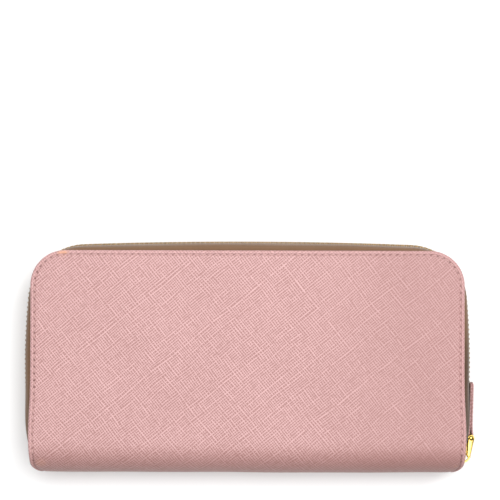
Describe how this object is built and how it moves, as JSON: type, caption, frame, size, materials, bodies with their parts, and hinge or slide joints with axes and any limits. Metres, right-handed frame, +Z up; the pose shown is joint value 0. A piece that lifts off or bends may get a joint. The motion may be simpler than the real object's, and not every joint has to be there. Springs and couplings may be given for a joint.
{
  "type": "wristlet wallet",
  "caption": "Zip-around long wallet in cross-grain leather: two stiff covers joined by a rolled spine, card tiers, accordion gussets, a zipped coin pocket and a leather zip pull.",
  "frame": {"origin": "middle of the front cover's outer face, on which the closed wallet rests", "axes": "+X along the spine, towards the end where the main zip slider stands when closed; +Y from the spine to the free edge; +Z up through the closed wallet to the back cover"},
  "size_m": [0.2009, 0.103, 0.025],
  "materials": {
    "leather": "cross-grain embossed, satin",
    "thread": "waxed sewing thread",
    "lining": "plain woven lining",
    "card_leather": "smooth, satin",
    "board": "grey fibre board",
    "padding": "bonded felt",
    "zip_tape": "woven polyester tape",
    "zip_metal": "polished",
    "gold_metal": "polished, gold plated"
  },
  "bodies": {
    "front_half": {"cover_leather_front": "leather", "stiffener_board_front": "board", "cover_padding_front": "padding", "spine_reinforcement_front": "padding", "cover_lining_front": "lining", "edge_stitching_front": "thread", "zip_tape_front": "zip_tape", "zip_teeth_front": "zip_metal", "zip_stops_front": "zip_metal", "card_backing_front": "card_leather", "card_tier_1_front": "card_leather", "card_tier_2_front": "card_leather", "card_tier_3_front": "card_leather", "gusset_left_front": "lining", "gusset_right_front": "lining"},
    "back_half": {"cover_leather_back": "leather", "stiffener_board_back": "board", "cover_padding_back": "padding", "spine_reinforcement_back": "padding", "cover_lining_back": "lining", "edge_stitching_back": "thread", "zip_tape_back": "zip_tape", "zip_teeth_back": "zip_metal", "zip_stops_back": "zip_metal", "card_backing_back": "card_leather", "card_tier_1_back": "card_leather", "card_tier_2_back": "card_leather", "card_tier_3_back": "card_leather", "gusset_left_back": "lining", "gusset_right_back": "lining"},
    "coin_pocket": {"coin_wall_front": "lining", "coin_wall_back": "lining", "coin_side_strip": "lining", "coin_zip_tape_front": "zip_tape", "coin_zip_tape_back": "zip_tape", "coin_zip_teeth": "zip_metal", "coin_zip_stops": "zip_metal"},
    "zip_slider": {"slider_body": "gold_metal", "slider_bail": "gold_metal"},
    "pull_link": {"pull_link": "gold_metal", "pull_pin": "gold_metal"},
    "pull_tab": {"pull_tab": "leather", "tab_stitching": "thread"},
    "coin_slider": {"coin_slider_body": "gold_metal", "coin_slider_bail": "gold_metal"},
    "coin_pull": {"coin_pull": "gold_metal"}
  },
  "joints": [
    {"name": "cover_open", "type": "hinge", "parent": "front_half", "child": "back_half", "pos_m": [0, -0.0495, 0.0125], "axis": [1, 0, 0], "range_deg": [0, 60], "deforming": ["zip_teeth_back", "zip_teeth_front"]},
    {"name": "coin_pocket_swing", "type": "hinge", "parent": "front_half", "child": "coin_pocket", "pos_m": [0, -0.0495, 0.0125], "axis": [1, 0, 0], "range_deg": [0, 30]},
    {"name": "zip_travel", "type": "hinge", "parent": "front_half", "child": "zip_slider", "pos_m": [-0.2015, 0, 0.0125], "axis": [0, 0, 1], "range_deg": [0, 12], "deforming": ["zip_teeth_front", "zip_teeth_back"]},
    {"name": "pull_swing", "type": "hinge", "parent": "zip_slider", "child": "pull_link", "pos_m": [0.09862, -0.04171, 0.0125], "axis": [0, 0, -1], "range_deg": [0, 130]},
    {"name": "tab_swing", "type": "hinge", "parent": "pull_link", "child": "pull_tab", "pos_m": [0.09975, -0.03389, 0.0125], "axis": [0, 0, -1], "range_deg": [0, 60]},
    {"name": "coin_zip_travel", "type": "slide", "parent": "coin_pocket", "child": "coin_slider", "axis": [-1, 0, 0], "range_m": [0, 0.144], "deforming": ["coin_zip_teeth"]},
    {"name": "coin_pull_swing", "type": "hinge", "parent": "coin_slider", "child": "coin_pull", "pos_m": [0.0746, 0.0395, 0.0125], "axis": [0, 0, -1], "range_deg": [0, 150]}
  ],
  "couplings": [
    {"joint": "coin_pocket_swing", "follows": "cover_open", "ratio": 0.5}
  ]
}
